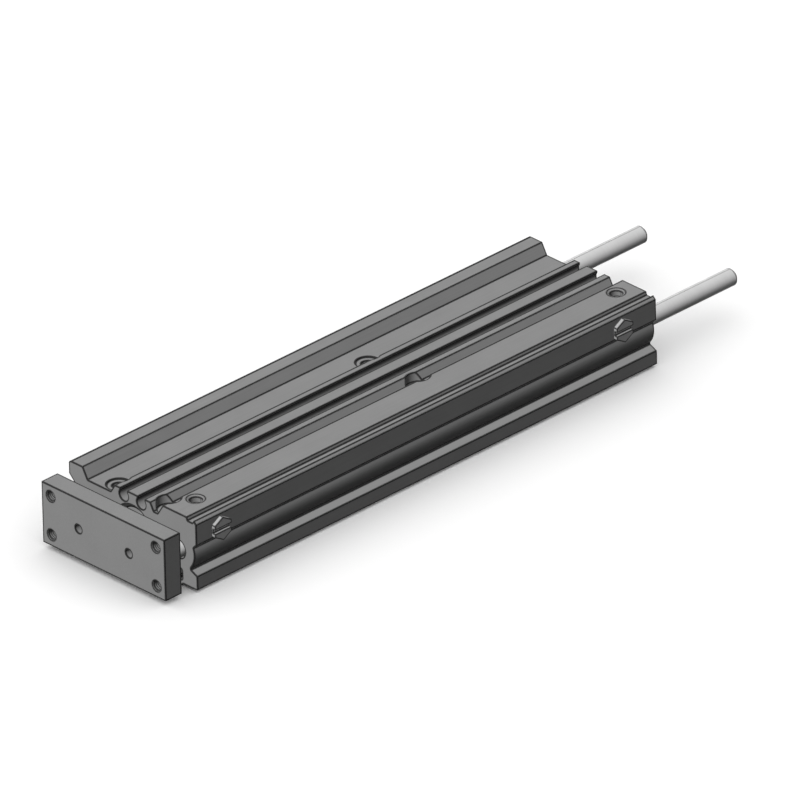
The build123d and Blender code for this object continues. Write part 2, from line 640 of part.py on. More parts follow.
# Ball bushes: each has a hardened shell with turned-in ends, a cage and rows of balls
ball_radius = BALL_DIAMETER / 2
ball_circle = rod_radius + RUNNING_FIT + ball_radius
cage_outer = ball_circle + CAGE_WALL / 2
cage_inner = ball_circle - CAGE_WALL / 2 + LOOSE_FIT
row_length = (BALLS_PER_ROW - 1) * BALL_PITCH
cage_length = BUSH_LENGTH - 2 * BUSH_LIP_LENGTH - 2 * LOOSE_FIT
ball_bevel = BALL_DIAMETER * (1 - sqrt(0.5))
first_row_angle = 180 / BALL_ROWS
for end_name, bush_start in BUSH_ENDS:
    for side_name, guide_y in GUIDE_SIDES:
        bush_name = f"{end_name}_{side_name}"
        bush_middle = depth_plane(bush_start + BUSH_LENGTH / 2, guide_y)

        with BuildPart() as bush_shell:
            with BuildSketch(axial_plane(guide_y)):
                ring_section(bush_start, BUSH_LENGTH, ROD_HOLE_RADIUS, bush_outer)
                ring_section(
                    bush_start + BUSH_LIP_LENGTH,
                    BUSH_LENGTH - 2 * BUSH_LIP_LENGTH,
                    0,
                    ball_circle + ball_radius + FIT,
                    Mode.SUBTRACT,
                )
            revolve(axis=axial_axis(guide_y))
        bush_shell.part.label = f"bush_shell_{bush_name}"
        export_step(bush_shell.part, f"parts/bush_shell_{bush_name}.step")

        with BuildPart() as bush_cage:
            with BuildSketch(bush_middle):
                Circle(cage_outer)
                Circle(cage_inner, mode=Mode.SUBTRACT)
            extrude(amount=cage_length / 2, both=True)
            with Locations(bush_middle):
                with PolarLocations(ball_circle, BALL_ROWS, start_angle=first_row_angle):
                    Box(
                        2 * CAGE_WALL,
                        BALL_DIAMETER + LOOSE_FIT,
                        row_length + BALL_DIAMETER + BALL_PITCH / 2,
                        mode=Mode.SUBTRACT,
                    )
        bush_cage.part.label = f"bush_cage_{bush_name}"
        export_step(bush_cage.part, f"parts/bush_cage_{bush_name}.step")

        # Each ball is a cube with bevelled edges, which keeps the many hidden balls light
        with BuildPart() as bush_balls:
            for ball in range(BALLS_PER_ROW):
                ball_offset = ball * BALL_PITCH - row_length / 2
                with Locations(bush_middle.offset(ball_offset)):
                    with PolarLocations(ball_circle, BALL_ROWS, start_angle=first_row_angle):
                        Box(BALL_DIAMETER, BALL_DIAMETER, BALL_DIAMETER)
            chamfer(bush_balls.edges(), length=ball_bevel)
        bush_balls.part.label = f"bush_balls_{bush_name}"
        export_step(bush_balls.part, f"parts/bush_balls_{bush_name}.step")

# End plate: four corner taps right through, two dowel holes and three blind taps behind
with BuildPart() as end_plate:
    with BuildSketch(section_plane(PLATE_REAR)):
        with Locations((0, AXIS_HEIGHT)):
            Rectangle(PLATE_WIDTH, PLATE_HEIGHT)
    extrude(amount=PLATE_THICKNESS)
    plate_face = Plane(origin=(PLATE_FRONT, 0, AXIS_HEIGHT), x_dir=(0, 1, 0), z_dir=(1, 0, 0))
    plate_back = Plane(origin=(PLATE_REAR, 0, AXIS_HEIGHT), x_dir=(0, 1, 0), z_dir=(-1, 0, 0))
    tap_radius = PLATE_TAP_DRILL / 2
    with Locations(plate_face, plate_back):
        with GridLocations(PLATE_TAP_PITCH_Y, PLATE_TAP_PITCH_Z, 2, 2):
            Cone(
                tap_radius,
                tap_radius + PLATE_TAP_CHAMFER,
                PLATE_TAP_CHAMFER,
                align=(Align.CENTER, Align.CENTER, Align.MAX),
                mode=Mode.SUBTRACT,
            )
    with Locations(plate_face):
        with GridLocations(PLATE_TAP_PITCH_Y, PLATE_TAP_PITCH_Z, 2, 2):
            Hole(tap_radius)
        with GridLocations(PIN_HOLE_PITCH, 0, 2, 1):
            Hole(PIN_HOLE_DIAMETER / 2, depth=PIN_HOLE_DEPTH)
    with Locations(plate_back):
        with GridLocations(GUIDE_Y, 0, 3, 1):
            Hole(SPIGOT_RADIUS + FIT, depth=PLATE_SPIGOT_LENGTH)
end_plate.part.label = "end_plate"
export_step(end_plate.part, "parts/end_plate.step")
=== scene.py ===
# %% [markdown]
# A compact guided cylinder
#
# The object is a flat pneumatic cylinder: a long grooved aluminium body, an end plate in
# front of it, and two guide rods that stand out behind. The engineering model holds every
# piece at its real size, so this lesson dresses it: it gives each piece its finish, adds the
# screw threads and the round bearing balls, and lights the whole like a studio photograph.
# Nothing in the engineering model is moved, because it also has to work as a mechanism.

# %% Load the engineering model
import json
from math import cos, pi, radians, sin

import bpy
from mathutils import Matrix, Vector


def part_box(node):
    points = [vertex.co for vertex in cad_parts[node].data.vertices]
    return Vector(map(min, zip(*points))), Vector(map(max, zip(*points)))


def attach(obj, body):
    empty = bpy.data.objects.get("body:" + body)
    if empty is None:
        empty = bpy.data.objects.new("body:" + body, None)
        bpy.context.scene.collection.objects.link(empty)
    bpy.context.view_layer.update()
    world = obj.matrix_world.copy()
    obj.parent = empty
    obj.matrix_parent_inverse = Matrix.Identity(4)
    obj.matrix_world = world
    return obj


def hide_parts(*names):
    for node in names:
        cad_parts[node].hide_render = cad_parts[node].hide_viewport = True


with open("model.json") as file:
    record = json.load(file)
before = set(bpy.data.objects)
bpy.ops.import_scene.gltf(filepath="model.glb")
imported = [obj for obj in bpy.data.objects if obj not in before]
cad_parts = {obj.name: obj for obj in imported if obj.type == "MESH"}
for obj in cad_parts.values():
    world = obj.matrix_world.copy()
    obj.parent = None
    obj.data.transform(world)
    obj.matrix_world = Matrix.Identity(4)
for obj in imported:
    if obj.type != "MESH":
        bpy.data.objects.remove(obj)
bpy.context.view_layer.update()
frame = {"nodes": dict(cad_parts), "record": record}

nodes = frame["nodes"]
print("pieces in the engineering model:", len(nodes))

# %% [markdown]
# Everything below is in metres, because Blender and the engineering model share one frame.
# Small sizes are easier to read in millimetres, so one short value turns them into metres.

# %% Units and the places that the model gives
MM = 0.001

body_low, body_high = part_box("cylinder_body")
plate_low, plate_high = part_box("end_plate")
body_top = body_high.z
body_front = body_high.x
body_back = body_low.x
print("body length in mm:", round((body_front - body_back) / MM, 2))
print("plate thickness in mm:", round((plate_high.x - plate_low.x) / MM, 2))

# %% [markdown]
# A material is a small network of nodes. Each one could be wired by hand in the shader
# editor, but a script that wires a dozen of them needs short helpers: one that makes a node
# with its settings, one that makes an empty material with its main shader, and one that tells
# what the camera sees from light that bounces about.

# %% Helpers that wire materials


def add_node(tree, kind, inputs=None, **settings):
    """New node of a kind, with its settings and the values of its input sockets."""
    node = tree.nodes.new(kind)
    for name, value in settings.items():
        setattr(node, name, value)
    for name, value in (inputs or {}).items():
        node.inputs[name].default_value = value
    return node


def start_material(name, roughness, metallic, specular):
    """New material with the constants of its main shader set on the shader's own sockets."""
    material = bpy.data.materials.new(name)
    material.use_nodes = True
    tree = material.node_tree
    shader = tree.nodes["Principled BSDF"]
    shader.inputs["Metallic"].default_value = metallic
    shader.inputs["Roughness"].default_value = roughness
    shader.inputs["Specular IOR Level"].default_value = specular
    return material, tree, shader


def seen_by_camera(tree):
    """Value that is 1 for what the camera, a reflection or glass sees, and 0 for other light."""
    path = add_node(tree, "ShaderNodeLightPath")
    some = add_node(tree, "ShaderNodeMath", operation="MAXIMUM")
    every = add_node(tree, "ShaderNodeMath", operation="MAXIMUM")
    tree.links.new(path.outputs["Is Camera Ray"], some.inputs[0])
    tree.links.new(path.outputs["Is Glossy Ray"], some.inputs[1])
    tree.links.new(some.outputs["Value"], every.inputs[0])
    tree.links.new(path.outputs["Is Transmission Ray"], every.inputs[1])
    return every.outputs["Value"]


print("helpers:", [helper.__name__ for helper in (add_node, start_material, seen_by_camera)])

# %% [markdown]
# In the photograph each edge reads as a thin dark line. Modelled chamfers on a hundred edges
# would need a far heavier mesh, so the material finds the edges by itself. The Bevel node
# blurs the normal near an outer edge, and where the blurred normal leaves the true one, there
# is an edge. The Ambient Occlusion node paints shade into each inner corner, where the two
# faces hide part of the sky from each other, and into narrow hollows such as the slots. The
# group below joins the edge lines and this painted shade into one mask, so that every finish
# can share it. A turn is 1 less the cosine of the angle between the two normals: the line
# starts at the first turn and is full at the second.

# %% A mask of the thin lines along the edges and of painted shade in inner corners
EDGE_RADIUS = 0.8 * MM
EDGE_START_TURN = 0.0004
EDGE_FULL_TURN = 0.0024
EDGE_SAMPLES = 16
CORNER_SHADE_REACH = 0.5 * MM
CORNER_SHADE_START = 0.96
CORNER_SHADE_FULL = 0.84
CORNER_SHADE_SAMPLES = 12


def make_line_and_shade_group():
    """Node group: 1 on edge lines and on painted shade in inner corners, 0 on the open surface."""
    group = bpy.data.node_groups.new("edge_line_and_corner_shade", "ShaderNodeTree")
    group.interface.new_socket("Radius", in_out="INPUT", socket_type="NodeSocketFloat")
    group.interface.new_socket("Line", in_out="OUTPUT", socket_type="NodeSocketFloat")
    link = group.links.new
    group_in = add_node(group, "NodeGroupInput")
    group_out = add_node(group, "NodeGroupOutput")
    bevel = add_node(group, "ShaderNodeBevel", samples=EDGE_SAMPLES)
    geometry = add_node(group, "ShaderNodeNewGeometry")
    match = add_node(group, "ShaderNodeVectorMath", operation="DOT_PRODUCT")
    edge = add_node(
        group,
        "ShaderNodeMapRange",
        inputs={"From Min": 1.0 - EDGE_START_TURN, "From Max": 1.0 - EDGE_FULL_TURN},
    )
    link(group_in.outputs["Radius"], bevel.inputs["Radius"])
    link(bevel.outputs["Normal"], match.inputs[0])
    link(geometry.outputs["Normal"], match.inputs[1])
    link(match.outputs["Value"], edge.inputs["Value"])

    # Painted shade: the occlusion darkens inner corners and narrow hollows, such as the slots.
    open_sky = add_node(
        group,
        "ShaderNodeAmbientOcclusion",
        inputs={"Distance": CORNER_SHADE_REACH},
        samples=CORNER_SHADE_SAMPLES,
        only_local=True,
    )
    corner = add_node(
        group,
        "ShaderNodeMapRange",
        inputs={"From Min": CORNER_SHADE_START, "From Max": CORNER_SHADE_FULL},
    )
    either = add_node(group, "ShaderNodeMath", operation="MAXIMUM")
    link(open_sky.outputs["AO"], corner.inputs["Value"])
    link(edge.outputs["Result"], either.inputs[0])
    link(corner.outputs["Result"], either.inputs[1])
    link(either.outputs["Value"], group_out.inputs["Line"])
    return group


line_and_shade_group = make_line_and_shade_group()
print("edge line radius in mm:", round(EDGE_RADIUS / MM, 2))

# %% [markdown]
# In the photograph no face lights up the face beside it: the waist under the long side is
# nearly black, although a bright ledge lies right below. So each metal is dark to bounced
# light and has its own tone only where the camera, or a reflection, sees it.
#
# Most finishes here are a grey metal whose tone wanders a little. A noise stretched along the
# way the tool moved gives the grain: along the body for an extrusion, round and round for a
# ground rod, the same each way for a blasted face. One function wires that for all of them:
# a grain that changes colour and height a little, soft blotches far larger than the grain,
# the dark line along the edges, and painted shade in the inner corners. Both noises wander
# about a half, so their sum wanders about 1, and the tone follows how far the sum is from 1.

# %% A grained metal
METAL_BOUNCE = 0.02
TONE_SPREAD = 0.06
TONE_CONTRAST = 0.4
ROUGHNESS_SPREAD = 0.1
BLOTCHES_PER_METRE = 60.0
GRAIN_STRENGTH = 0.35
LINE_AND_SHADE_TONE = 0.15


def with_line_bands(tree, place, line_and_shade_mask, bands):
    """Mask of lines and painted shade, plus bands along X, each given by its reach in Y and in Z.
    """
    link = tree.links.new
    axes = add_node(tree, "ShaderNodeSeparateXYZ")
    link(place.outputs["Object"], axes.inputs["Vector"])
    for band in bands:
        both = add_node(tree, "ShaderNodeMath", operation="MULTIPLY")
        # Compare gives 1 where its value is within half the band's reach of the middle.
        for axis, (low, high), socket in zip("YZ", band, both.inputs):
            inside = add_node(
                tree,
                "ShaderNodeMath",
                operation="COMPARE",
                inputs={1: (low + high) / 2, 2: (high - low) / 2},
            )
            link(axes.outputs[axis], inside.inputs[0])
            link(inside.outputs["Value"], socket)
        either = add_node(tree, "ShaderNodeMath", operation="MAXIMUM")
        link(line_and_shade_mask, either.inputs[0])
        link(both.outputs["Value"], either.inputs[1])
        line_and_shade_mask = either.outputs["Value"]
    return line_and_shade_mask


def grained_metal(
    name, level, roughness, metallic, specular, grain, depth, line=EDGE_RADIUS, bands=()
):
    """Metal of a linear grey level. grain is how fine its noise is along X, Y and Z, in lines
    per metre, depth is the height of its grain in metres, line is the radius from which its
    edge lines are made, and bands are places along X that are drawn as lines too."""
    material, tree, shader = start_material(name, roughness, metallic, specular)
    link = tree.links.new
    place = add_node(tree, "ShaderNodeTexCoord")
    stretch = add_node(tree, "ShaderNodeMapping", inputs={"Scale": grain})
    fine = add_node(tree, "ShaderNodeTexNoise", inputs={"Scale": 1.0, "Detail": 4.0})
    broad = add_node(
        tree, "ShaderNodeTexNoise", inputs={"Scale": BLOTCHES_PER_METRE, "Detail": 2.0}
    )
    link(place.outputs["Object"], stretch.inputs["Vector"])
    link(stretch.outputs["Vector"], fine.inputs["Vector"])
    link(place.outputs["Object"], broad.inputs["Vector"])

    both = add_node(tree, "ShaderNodeMath", operation="ADD")
    tone = add_node(
        tree,
        "ShaderNodeMapRange",
        inputs={
            "From Min": 1.0 - TONE_CONTRAST,
            "From Max": 1.0 + TONE_CONTRAST,
            "To Min": level * (1 - TONE_SPREAD),
            "To Max": level * (1 + TONE_SPREAD),
        },
    )
    link(fine.outputs["Fac"], both.inputs[0])
    link(broad.outputs["Fac"], both.inputs[1])
    link(both.outputs["Value"], tone.inputs["Value"])

    # The group's Line output holds the edge lines and the painted shade of inner corners.
    edges = add_node(tree, "ShaderNodeGroup", node_tree=line_and_shade_group)
    edges.inputs["Radius"].default_value = line
    line_and_shade_mask = edges.outputs["Line"]
    if bands:
        line_and_shade_mask = with_line_bands(tree, place, line_and_shade_mask, bands)
    # Where the mask is 1 the tone goes dark: a line along each edge, painted shade in corners.
    line_and_shade_tone = add_node(tree, "ShaderNodeMath", operation="MULTIPLY", inputs={1: LINE_AND_SHADE_TONE})
    colour = add_node(tree, "ShaderNodeMix", data_type="FLOAT")
    link(line_and_shade_mask, colour.inputs["Factor"])
    link(tone.outputs["Result"], colour.inputs[2])
    link(tone.outputs["Result"], line_and_shade_tone.inputs[0])
    link(line_and_shade_tone.outputs["Value"], colour.inputs[3])
    seen = add_node(tree, "ShaderNodeMix", data_type="FLOAT", inputs={2: METAL_BOUNCE})
    link(seen_by_camera(tree), seen.inputs["Factor"])
    link(colour.outputs[0], seen.inputs[3])
    link(seen.outputs[0], shader.inputs["Base Color"])

    rough = add_node(
        tree,
        "ShaderNodeMapRange",
        inputs={
            "To Min": roughness * (1 - ROUGHNESS_SPREAD),
            "To Max": min(1.0, roughness * (1 + ROUGHNESS_SPREAD)),
        },
    )
    bump = add_node(tree, "ShaderNodeBump", inputs={"Strength": GRAIN_STRENGTH, "Distance": depth})
    link(fine.outputs["Fac"], rough.inputs["Value"])
    link(rough.outputs["Result"], shader.inputs["Roughness"])
    link(fine.outputs["Fac"], bump.inputs["Height"])
    link(bump.outputs["Normal"], shader.inputs["Normal"])
    return material


print("a grained metal wanders from its tone by at most", round(TONE_SPREAD * 100), "percent")

# %% [markdown]
# The body is a satin anodised extrusion. Its grain runs the whole length along X, because
# that is the way the profile left the die. The plate is milled and blasted, so its grain is
# the same each way. The covers of the cylinder are turned.
#
# The fin along the left side ends in a rounded corner, which has no sharp edge for the mask to
# find, although the photograph draws it as darkly as any. The left edges of the ridge and of
# the block are blunt, so the mask finds them only faintly. The body's material adds these
# three lines by their place, as narrow bands along X.

# %% Aluminium finishes
ALUMINIUM_LEVEL = 0.255
FIN_CORNER = 0.9 * MM
RIDGE_EDGE_Y = -8.1 * MM
RIDGE_STEP = 1.0 * MM
BLOCK_EDGE_Y = 13.9 * MM
BAND_WIDTH = 0.6 * MM
BAND_DEPTH = 0.35 * MM
BAND_MARGIN = 0.05 * MM

ridge_top = body_top - RIDGE_STEP
fin_band_y = (body_low.y - BAND_MARGIN, body_low.y + FIN_CORNER + BAND_WIDTH)
ridge_band_y = (RIDGE_EDGE_Y - BAND_MARGIN, RIDGE_EDGE_Y + BAND_WIDTH)
block_band_y = (BLOCK_EDGE_Y - BAND_MARGIN, BLOCK_EDGE_Y + BAND_WIDTH)
body_lines = (
    (fin_band_y, (body_top - BAND_DEPTH, body_top + BAND_MARGIN)),
    (ridge_band_y, (ridge_top - BAND_MARGIN, ridge_top + BAND_MARGIN)),
    (block_band_y, (body_top - BAND_MARGIN, body_top + BAND_MARGIN)),
)

body_aluminium = grained_metal(
    "anodised_extrusion",
    level=ALUMINIUM_LEVEL,
    roughness=0.5,
    metallic=0.0,
    specular=0.015,
    grain=(40.0, 2400.0, 2400.0),
    depth=0.02 * MM,
    bands=body_lines,
)
plate_aluminium = grained_metal(
    "anodised_milled_plate",
    level=ALUMINIUM_LEVEL,
    roughness=0.5,
    metallic=0.0,
    specular=0.015,
    grain=(2200.0, 2200.0, 2200.0),
    depth=0.02 * MM,
)
cover_aluminium = grained_metal(
    "turned_aluminium",
    level=0.4,
    roughness=0.4,
    metallic=0.4,
    specular=0.4,
    grain=(3000.0, 300.0, 300.0),
    depth=0.01 * MM,
)
print("aluminium finishes:", body_aluminium.name, plate_aluminium.name, cover_aluminium.name)

# %% [markdown]
# The rods are ground and hard-chromed, and they are the brightest metal in the photograph.
# Fine rings round the rod are the marks of the grinding wheel. The plugs are plated, a little
# duller, with marks in no clear direction. The ball bushes are hardened steel, the retaining
# rings are dark spring steel, and the magnet on the piston is bonded ferrite, dark and dull.
# Most of these are hidden while the object is whole.

# %% Steel and ferrite finishes
rod_steel = grained_metal(
    "ground_rod_steel",
    level=0.62,
    roughness=0.35,
    metallic=0.0,
    specular=0.04,
    grain=(5000.0, 160.0, 160.0),
    depth=0.004 * MM,
)
plug_steel = grained_metal(
    "plated_plug_steel",
    level=0.38,
    roughness=0.4,
    metallic=0.0,
    specular=0.04,
    grain=(1800.0, 1800.0, 1800.0),
    depth=0.01 * MM,
    line=0.65 * MM,
)
bearing_steel = grained_metal(
    "hardened_bearing_steel",
    level=0.5,
    roughness=0.25,
    metallic=0.7,
    specular=0.5,
    grain=(4000.0, 200.0, 200.0),
    depth=0.004 * MM,
)
spring_steel = grained_metal(
    "phosphated_spring_steel",
    level=0.06,
    roughness=0.45,
    metallic=0.4,
    specular=0.4,
    grain=(2500.0, 2500.0, 2500.0),
    depth=0.01 * MM,
)
magnet_ferrite = grained_metal(
    "bonded_ferrite",
    level=0.09,
    roughness=0.6,
    metallic=0.0,
    specular=0.3,
    grain=(2500.0, 2500.0, 2500.0),
    depth=0.006 * MM,
)
print("steel finishes:", rod_steel.name, plug_steel.name, bearing_steel.name, spring_steel.name)
print("ferrite finish:", magnet_ferrite.name)

# %% [markdown]
# Rubber, resin and felt don't shine like metal, and their surface isn't scratched but
# speckled. A cell pattern gives the speckle: fine and shallow for rubber and resin, coarse
# and deep for the felt that wipes the guide rods.

# %% Soft finishes
SPECKLE_STRENGTH = 0.5
SPECKS_PER_CLOUD = 3


def speckled_material(name, colour, roughness, specular, cells, depth, spread):
    """Material with a speckled surface. cells is how many cells lie in a metre, depth is the
    height of the speckle in metres, and spread is how far its tone wanders."""
    material, tree, shader = start_material(name, roughness, 0.0, specular)
    link = tree.links.new
    place = add_node(tree, "ShaderNodeTexCoord")
    speckle = add_node(tree, "ShaderNodeTexVoronoi", inputs={"Scale": cells})
    cloud = add_node(
        tree, "ShaderNodeTexNoise", inputs={"Scale": cells / SPECKS_PER_CLOUD, "Detail": 5.0}
    )
    tone = add_node(
        tree, "ShaderNodeMapRange", inputs={"To Min": 1 - spread, "To Max": 1 + spread}
    )
    tint = add_node(tree, "ShaderNodeVectorMath", operation="SCALE", inputs={0: colour})
    bump = add_node(
        tree, "ShaderNodeBump", inputs={"Strength": SPECKLE_STRENGTH, "Distance": depth}
    )
    link(place.outputs["Object"], speckle.inputs["Vector"])
    link(place.outputs["Object"], cloud.inputs["Vector"])
    link(cloud.outputs["Fac"], tone.inputs["Value"])
    link(tone.outputs["Result"], tint.inputs["Scale"])
    link(tint.outputs["Vector"], shader.inputs["Base Color"])
    link(speckle.outputs["Distance"], bump.inputs["Height"])
    link(bump.outputs["Normal"], shader.inputs["Normal"])
    return material


seal_rubber = speckled_material(
    "black_seal_rubber",
    colour=(0.018, 0.018, 0.02),
    roughness=0.6,
    specular=0.3,
    cells=4000.0,
    depth=0.01 * MM,
    spread=0.3,
)
bumper_rubber = speckled_material(
    "urethane_bumper",
    colour=(0.35, 0.16, 0.05),
    roughness=0.5,
    specular=0.4,
    cells=3000.0,
    depth=0.01 * MM,
    spread=0.2,
)
cage_resin = speckled_material(
    "cage_resin",
    colour=(0.05, 0.05, 0.05),
    roughness=0.45,
    specular=0.4,
    cells=2500.0,
    depth=0.01 * MM,
    spread=0.12,
)
wiper_felt = speckled_material(
    "wiper_felt",
    colour=(0.75, 0.73, 0.66),
    roughness=0.95,
    specular=0.1,
    cells=2600.0,
    depth=0.1 * MM,
    spread=0.4,
)
print("soft finishes:", seal_rubber.name, bumper_rubber.name, cage_resin.name, wiper_felt.name)

# %% [markdown]
# The record of the part names a material slot for each piece. One table from slot to finish
# then dresses every node of the engineering model, and none can be forgotten.

# %% Dress the nodes of the engineering model
FINISHES = {
    "body_aluminium": body_aluminium,
    "plate_aluminium": plate_aluminium,
    "cover_aluminium": cover_aluminium,
    "rod_steel": rod_steel,
    "plug_steel": plug_steel,
    "bearing_steel": bearing_steel,
    "spring_steel": spring_steel,
    "seal_rubber": seal_rubber,
    "bumper_rubber": bumper_rubber,
    "cage_resin": cage_resin,
    "felt": wiper_felt,
    "magnet": magnet_ferrite,
}


def dress(node_name, finish):
    """Gives every material slot of a node one finish."""
    slots = nodes[node_name].material_slots
    for slot in slots:
        slot.material = finish
    if not slots:
        nodes[node_name].data.materials.append(finish)


for entry in frame["record"]["subparts"]:
    dress(entry["node"], FINISHES[entry["material_slot"]])

# %% [markdown]
# The tapped holes need screw threads. A thread is a small ridge that winds along a helix, and
# the same ridge repeats in every hole of a kind, so Geometry Nodes make it: a Curve Spiral is
# the helix, a tiny profile swept along it is the ridge, and instances carry it to each hole.
# The tree has named inputs, so that one tree makes coarse and fine threads alike.

# %% A node tree that cuts threads
THREAD_STEPS = 20
THREAD_PROFILE_CORNERS = 4


def start_tree(name, kinds):
    """New geometry tree with its two end nodes. kinds gives the kind of each named input."""
    tree = bpy.data.node_groups.new(name, "GeometryNodeTree")
    for input_name, kind in kinds.items():
        tree.interface.new_socket(input_name, in_out="INPUT", socket_type="NodeSocket" + kind)
    tree.interface.new_socket("Geometry", in_out="OUTPUT", socket_type="NodeSocketGeometry")
    return tree, add_node(tree, "NodeGroupInput"), add_node(tree, "NodeGroupOutput")


def make_thread_tree():
    """Geometry tree: one helical ridge at each point of the geometry that it is given."""
    kinds = {
        "Geometry": "Geometry",
        "Hole Radius": "Float",
        "Ridge": "Float",
        "Pitch": "Float",
        "Length": "Float",
        "Direction": "Vector",
        "Finish": "Material",
    }
    tree, given, made = start_tree("screw_thread", kinds)
    link = tree.links.new

    turns = add_node(tree, "ShaderNodeMath", operation="DIVIDE")
    helix = add_node(tree, "GeometryNodeCurveSpiral", inputs={"Resolution": THREAD_STEPS})
    profile = add_node(
        tree,
        "GeometryNodeCurvePrimitiveCircle",
        mode="RADIUS",
        inputs={"Resolution": THREAD_PROFILE_CORNERS},
    )
    link(given.outputs["Length"], turns.inputs[0])
    link(given.outputs["Pitch"], turns.inputs[1])
    link(turns.outputs["Value"], helix.inputs["Rotations"])
    link(given.outputs["Hole Radius"], helix.inputs["Start Radius"])
    link(given.outputs["Hole Radius"], helix.inputs["End Radius"])
    link(given.outputs["Length"], helix.inputs["Height"])
    link(given.outputs["Ridge"], profile.inputs["Radius"])

    ridge = add_node(tree, "GeometryNodeCurveToMesh", inputs={"Fill Caps": True})
    link(helix.outputs["Curve"], ridge.inputs["Curve"])
    link(profile.outputs["Curve"], ridge.inputs["Profile Curve"])
    aim = add_node(tree, "FunctionNodeAlignRotationToVector", axis="Z")
    spread = add_node(tree, "GeometryNodeInstanceOnPoints")
    link(given.outputs["Direction"], aim.inputs["Vector"])
    link(given.outputs["Geometry"], spread.inputs["Points"])
    link(ridge.outputs["Mesh"], spread.inputs["Instance"])
    link(aim.outputs["Rotation"], spread.inputs["Rotation"])

    real = add_node(tree, "GeometryNodeRealizeInstances")
    finish = add_node(tree, "GeometryNodeSetMaterial")
    link(spread.outputs["Instances"], real.inputs["Geometry"])
    link(real.outputs["Geometry"], finish.inputs["Geometry"])
    link(given.outputs["Finish"], finish.inputs["Material"])
    link(finish.outputs["Geometry"], made.inputs["Geometry"])
    return tree


thread_tree = make_thread_tree()
print("thread tree inputs:", [item.name for item in thread_tree.interface.items_tree])

# %% [markdown]
# A tree works on an object through a modifier. The points that it needs are the vertices of a
# tiny mesh, one for each hole. When the tree has run, its result is copied to a plain mesh
# and the modifier goes, so that the finished piece is ordinary geometry.

# %% Run a node tree and keep its mesh


def grow(name, tree, points, values):
    """Object made by a node tree from some points and the values of the tree's inputs."""
    seed = bpy.data.meshes.new(name)
    seed.from_pydata(points, [], [])
    piece = bpy.data.objects.new(name, seed)
    bpy.context.scene.collection.objects.link(piece)
    modifier = piece.modifiers.new("grow", "NODES")
    modifier.node_group = tree
    for item in tree.interface.items_tree:
        if item.name in values:
            modifier[item.identifier] = values[item.name]
    bpy.context.view_layer.update()
    evaluated = piece.evaluated_get(bpy.context.evaluated_depsgraph_get())
    mesh = bpy.data.meshes.new_from_object(evaluated)
    piece.modifiers.remove(modifier)
    piece.data = mesh
    mesh.name = name
    return piece


print("helper:", grow.__name__)

# %% [markdown]
# The plate has four tapped holes right through its corners. Their places follow the plate's
# own corners, and the thread starts behind the small countersink on each face.

# %% Threads in the plate
PLATE_TAP_EDGE = 4.0 * MM
PLATE_TAP_RADIUS = 1.65 * MM
PLATE_THREAD_PITCH = 0.7 * MM
PLATE_THREAD_RIDGE = 0.16 * MM
PLATE_THREAD_INSET = 0.6 * MM

plate_taps = [
    (plate_low.x + PLATE_THREAD_INSET, y, z)
    for y in (plate_low.y + PLATE_TAP_EDGE, plate_high.y - PLATE_TAP_EDGE)
    for z in (plate_low.z + PLATE_TAP_EDGE, plate_high.z - PLATE_TAP_EDGE)
]
plate_threads = grow(
    "plate_threads",
    thread_tree,
    plate_taps,
    {
        "Hole Radius": PLATE_TAP_RADIUS,
        "Ridge": PLATE_THREAD_RIDGE,
        "Pitch": PLATE_THREAD_PITCH,
        "Length": plate_high.x - plate_low.x - 2 * PLATE_THREAD_INSET,
        "Direction": (1.0, 0.0, 0.0),
        "Finish": plate_aluminium,
    },
)
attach(plate_threads, "plate_unit")
print("plate threads:", len(plate_threads.data.polygons), "faces")

# %% [markdown]
# The body has two air ports in its top face, tapped for small fittings, and four mounting
# holes tapped from below. Both are the same thread size with different lengths, so the same
# tree makes both. In the ports the thread starts low, because the photograph shows a smooth
# wall in their mouths.

# %% Threads in the body
BODY_TAP_RADIUS = 2.13 * MM
BODY_THREAD_PITCH = 0.8 * MM
BODY_THREAD_RIDGE = 0.18 * MM
PORT_THREAD_TOP = 2.2 * MM
PORT_THREAD_LENGTH = 2.1 * MM
BASE_THREAD_START = 0.6 * MM
BASE_THREAD_LENGTH = 9.0 * MM
TOP_PORT_Y = 18.3 * MM
FRONT_PORT_FROM_FRONT = 10.3 * MM
REAR_PORT_FROM_BACK = 7.2 * MM
BASE_HOLE_PITCH_X = 110.0 * MM
BASE_HOLE_PITCH_Y = 23.0 * MM

port_bottom = body_top - PORT_THREAD_TOP - PORT_THREAD_LENGTH
top_ports = [
    (body_front - FRONT_PORT_FROM_FRONT, TOP_PORT_Y, port_bottom),
    (body_back + REAR_PORT_FROM_BACK, TOP_PORT_Y, port_bottom),
]
base_holes = [
    (side_x * BASE_HOLE_PITCH_X / 2, side_y * BASE_HOLE_PITCH_Y / 2, BASE_THREAD_START)
    for side_x in (-1, 1)
    for side_y in (-1, 1)
]
for piece_name, holes, length in (
    ("port_threads", top_ports, PORT_THREAD_LENGTH),
    ("base_threads", base_holes, BASE_THREAD_LENGTH),
):
    threads = grow(
        piece_name,
        thread_tree,
        holes,
        {
            "Hole Radius": BODY_TAP_RADIUS,
            "Ridge": BODY_THREAD_RIDGE,
            "Pitch": BODY_THREAD_PITCH,
            "Length": length,
            "Direction": (0.0, 0.0, 1.0),
            "Finish": body_aluminium,
        },
    )
    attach(threads, "cylinder_unit")
    print(piece_name, len(threads.data.polygons), "faces")

# %% [markdown]
# Each guide rod runs in two ball bushes. The engineering model keeps its hidden balls as
# bevelled cubes, to stay light. Here they become round: Geometry Nodes lay out one row of
# balls, turn the row round the rod, and put a small sphere on each point.

# %% A node tree that fills a ball bush
BALL_SUBDIVISIONS = 3


